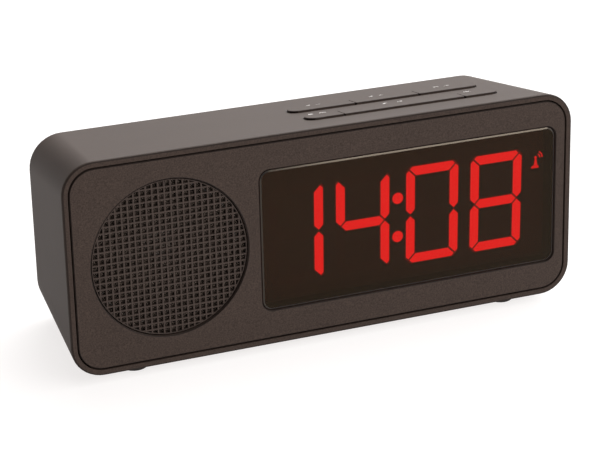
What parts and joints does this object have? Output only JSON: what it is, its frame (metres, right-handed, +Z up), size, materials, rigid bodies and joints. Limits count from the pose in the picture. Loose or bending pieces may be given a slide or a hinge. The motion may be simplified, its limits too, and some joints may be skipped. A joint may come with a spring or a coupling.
{
  "type": "clock radio",
  "caption": "Table clock radio with a round speaker grille, large red LED display behind a dark lens, push keys on top, a battery bay and rubber feet.",
  "frame": {"origin": "middle of the footprint, on the surface that the feet stand on", "axes": "+X to the right seen from the front, +Y to the rear, +Z up"},
  "size_m": [0.1778, 0.0577, 0.0737],
  "materials": {
    "case_plastic": "fine matte texture, dark warm grey",
    "panel_plastic": "fine matte texture, dark warm grey",
    "key_plastic": "fine matte texture, dark warm grey with white symbols",
    "grille_plastic": "dark moulded mesh",
    "black_plastic": "satin black",
    "display_black": "matte black with red lit bars",
    "lens": "polished dark tint",
    "white_plastic": "natural nylon",
    "foam": "open foam",
    "cone_paper": "pressed paper",
    "dust_cap": "glossy dome",
    "steel": "zinc plated",
    "nickel": "nickel plated",
    "ferrite": "sintered dark grey",
    "circuit_board": "green solder mask",
    "rubber": "matte black",
    "capacitor_sleeve": "dark blue shrink sleeve"
  },
  "bodies": {
    "case": {"aerial_grommet": "rubber", "alarm_switch": "black_plastic", "back_cover": "case_plastic", "battery_box": "black_plastic", "battery_contact_left": "nickel", "battery_contact_right": "nickel", "cover_screw_1": "steel", "cover_screw_2": "steel", "cover_screw_3": "steel", "cover_screw_4": "steel", "display_board": "circuit_board", "display_lens": "lens", "front_left_foot": "rubber", "front_panel": "panel_plastic", "front_right_foot": "rubber", "housing": "case_plastic", "key_board": "circuit_board", "led_display": "display_black", "light_switch": "black_plastic", "main_board": "circuit_board", "mode_switch": "black_plastic", "power_socket": "black_plastic", "power_socket_pin": "nickel", "radio_chip": "black_plastic", "rear_left_foot": "rubber", "rear_right_foot": "rubber", "smoothing_capacitor": "capacitor_sleeve", "snooze_switch": "black_plastic", "speaker_cone": "cone_paper", "speaker_dust_cap": "dust_cap", "speaker_frame": "steel", "speaker_gasket": "foam", "speaker_grille": "grille_plastic", "speaker_magnet": "ferrite", "speaker_surround": "foam", "tuner_can": "nickel", "volume_down_switch": "black_plastic", "volume_up_switch": "black_plastic"},
    "alarm_key": {"alarm_key": "key_plastic", "alarm_plunger": "white_plastic"},
    "battery_door": {"battery_door": "case_plastic"},
    "light_key": {"light_key": "key_plastic", "light_plunger": "white_plastic"},
    "mode_key": {"mode_key": "key_plastic", "mode_plunger": "white_plastic"},
    "snooze_key": {"snooze_key": "key_plastic", "snooze_plunger": "white_plastic"},
    "volume_down_key": {"volume_down_key": "key_plastic", "volume_down_plunger": "white_plastic"},
    "volume_up_key": {"volume_up_key": "key_plastic", "volume_up_plunger": "white_plastic"}
  },
  "joints": [
    {"name": "volume_down_press", "type": "slide", "parent": "case", "child": "volume_down_key", "axis": [0, -0.1908, -0.9816], "range_m": [0, 0.0006], "stiffness_N_per_m": 400},
    {"name": "volume_up_press", "type": "slide", "parent": "case", "child": "volume_up_key", "axis": [0, -0.1908, -0.9816], "range_m": [0, 0.0006], "stiffness_N_per_m": 400},
    {"name": "mode_press", "type": "slide", "parent": "case", "child": "mode_key", "axis": [0, -0.1908, -0.9816], "range_m": [0, 0.0006], "stiffness_N_per_m": 400},
    {"name": "alarm_press", "type": "slide", "parent": "case", "child": "alarm_key", "axis": [0, -0.1908, -0.9816], "range_m": [0, 0.0006], "stiffness_N_per_m": 400},
    {"name": "snooze_press", "type": "slide", "parent": "case", "child": "snooze_key", "axis": [0, -0.1908, -0.9816], "range_m": [0, 0.0006], "stiffness_N_per_m": 400},
    {"name": "light_press", "type": "slide", "parent": "case", "child": "light_key", "axis": [0, -0.1908, -0.9816], "range_m": [0, 0.0006], "stiffness_N_per_m": 400},
    {"name": "battery_door_off", "type": "slide", "parent": "case", "child": "battery_door", "axis": [0, 0.9972, -0.075], "range_m": [0, 0.02]}
  ]
}
